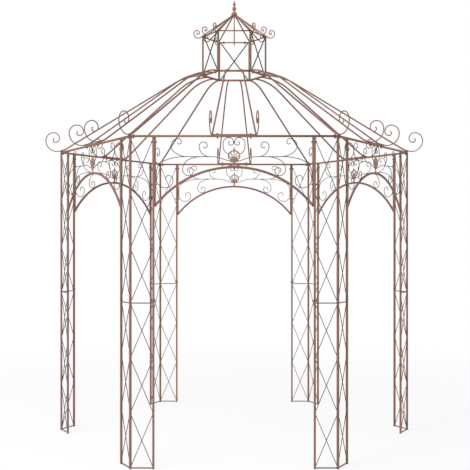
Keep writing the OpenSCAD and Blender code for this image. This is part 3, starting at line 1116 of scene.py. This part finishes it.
def bolts_at(name, pattern, places, tilt=0, round_copies=six_of):
    """Copies a bolt to its places on the front face, to their mirror images and round the hexagon."""
    right = [copy_of(pattern, "bolt", 0, at, tilt) for at in places]
    bpy.data.objects.remove(pattern)
    half = joined("half", right)
    row = joined("row", [half, mirror_of(half, "other_half")])
    finish_piece(round_copies(row, name), "rod_iron", bolt_paint)


def all_bolts():
    flange_u = (side_tube_u + tube / 2 + stile_in) / 2
    stile_places = [(flange_u, -face_y, z) for z in STILE_BOLTS_Z]
    bolts_at("arch_bolts", bolt(tube + STILE_W), stile_places, ON_ITS_SIDE)
    bolts_at("leg_bolts", bolt(tube), [(side_tube_u, -face_y, LEG_BOLT_Z)], ON_ITS_SIDE)
    foot_place = (FOOT_BOLT_U, -face_y, leg_h + (rail + FOOT_BAR) / 2)
    bolts_at("rib_foot_bolts", bolt(rail + FOOT_BAR), [foot_place])
    bolts_at("eave_bolts", bolt(rail), [(CORNER_BOLT_U, -face_y, leg_h + rail / 2)])
    cap_place = (RING_BOLT_U, -cupola_y, cap_low.z + cap_bar / 2)
    bolts_at("cupola_cap_bolts", bolt(cap_bar, CUPOLA_BOLT), [cap_place], 0, three_of)
    ring_place = (RING_BOLT_U, -cupola_y, rib_head_z)
    bolts_at("cupola_ring_bolts", bolt(cupola_tube, CUPOLA_BOLT), [ring_place], 0, three_of)


legs()
arch_frames()
shell_ornaments()
scrollwork()
rails_and_rings()
hip_ribs()
rib_pairs()
cupola_posts()
cupola_braces()
cupola_ribs()
finial()
all_bolts()


# Floor, light and camera

FLOOR_SIZE = 80
FLOOR_NEAR = 2.5
FLOOR_FAR = 7.0
FLOOR_SHOW = 0.75
FLOOR_GREY = 0.9
FLOOR_ROUGHNESS = 0.9
WHITE = (1, 1, 1, 1)
WORLD_LEVEL = 0.75
KEY_AT = (-5, -6, 8)
KEY_SIZE = 4
KEY_WATTS = 500
CAMERA_AT = (0.007, -8.272, 1.803)
LENS = 68.45
SENSOR = 36


def pale_floor():
    """A matt floor, white to the camera further off, that takes the gazebo's shadow near it."""
    paint = bpy.data.materials.new("pale_floor")
    paint.use_nodes = True
    tree = paint.node_tree
    link = tree.links.new
    matt = tree.nodes["Principled BSDF"]
    matt.inputs["Base Color"].default_value = (FLOOR_GREY, FLOOR_GREY, FLOOR_GREY, 1)
    matt.inputs["Roughness"].default_value = FLOOR_ROUGHNESS
    glow = add_node(tree, "ShaderNodeEmission")
    away = add_node(tree, "ShaderNodeVectorMath", operation="LENGTH")
    link(add_node(tree, "ShaderNodeTexCoord").outputs["Object"], away.inputs[0])
    show = add_node(
        tree, "ShaderNodeMapRange", {"From Min": FLOOR_NEAR, "From Max": FLOOR_FAR, "To Min": FLOOR_SHOW}
    )
    link(away.outputs["Value"], show.inputs["Value"])
    path = add_node(tree, "ShaderNodeLightPath")
    amount = add_node(tree, "ShaderNodeMath", operation="MULTIPLY")
    link(path.outputs["Is Camera Ray"], amount.inputs[0])
    link(show.outputs["Result"], amount.inputs[1])
    mix = add_node(tree, "ShaderNodeMixShader")
    link(amount.outputs["Value"], mix.inputs["Fac"])
    link(matt.outputs["BSDF"], mix.inputs[1])
    link(glow.outputs["Emission"], mix.inputs[2])
    link(mix.outputs["Shader"], tree.nodes["Material Output"].inputs["Surface"])
    deselect()
    bpy.ops.mesh.primitive_plane_add(size=FLOOR_SIZE)
    floor = bpy.context.object
    floor.name = "floor"
    floor.data.materials.append(paint)


def white_world(level):
    """White to the camera and in reflections, and a softer level of light on the object."""
    world = bpy.data.worlds.new("studio")
    bpy.context.scene.world = world
    world.use_nodes = True
    tree = world.node_tree
    link = tree.links.new
    light = tree.nodes["Background"]
    light.inputs["Color"].default_value = WHITE
    light.inputs["Strength"].default_value = level
    white = add_node(tree, "ShaderNodeBackground", {"Color": WHITE, "Strength": 1.0})
    path = add_node(tree, "ShaderNodeLightPath")
    seen = add_node(tree, "ShaderNodeMath", operation="MAXIMUM")
    link(path.outputs["Is Camera Ray"], seen.inputs[0])
    link(path.outputs["Is Glossy Ray"], seen.inputs[1])
    any_seen = add_node(tree, "ShaderNodeMath", operation="MAXIMUM")
    link(seen.outputs["Value"], any_seen.inputs[0])
    link(path.outputs["Is Transmission Ray"], any_seen.inputs[1])
    mix = add_node(tree, "ShaderNodeMixShader")
    link(any_seen.outputs["Value"], mix.inputs["Fac"])
    link(light.outputs["Background"], mix.inputs[1])
    link(white.outputs["Background"], mix.inputs[2])
    link(mix.outputs["Shader"], tree.nodes["World Output"].inputs["Surface"])


def soft_lamp(name, at, size, watts):
    deselect()
    bpy.ops.object.light_add(type="AREA", location=at)
    lamp = bpy.context.object
    lamp.name = name
    lamp.data.size = size
    lamp.data.energy = watts
    lamp.rotation_euler = (-lamp.location).to_track_quat("-Z", "Y").to_euler()


def camera():
    """A level camera at eye height, in front of the gazebo."""
    bpy.ops.object.camera_add(location=CAMERA_AT, rotation=(pi / 2, 0, 0))
    view = bpy.context.object
    view.data.lens = LENS
    view.data.sensor_width = SENSOR
    bpy.context.scene.camera = view


pale_floor()
white_world(WORLD_LEVEL)
soft_lamp("key_light", KEY_AT, KEY_SIZE, KEY_WATTS)
camera()
bpy.context.scene.view_settings.view_transform = "Standard"
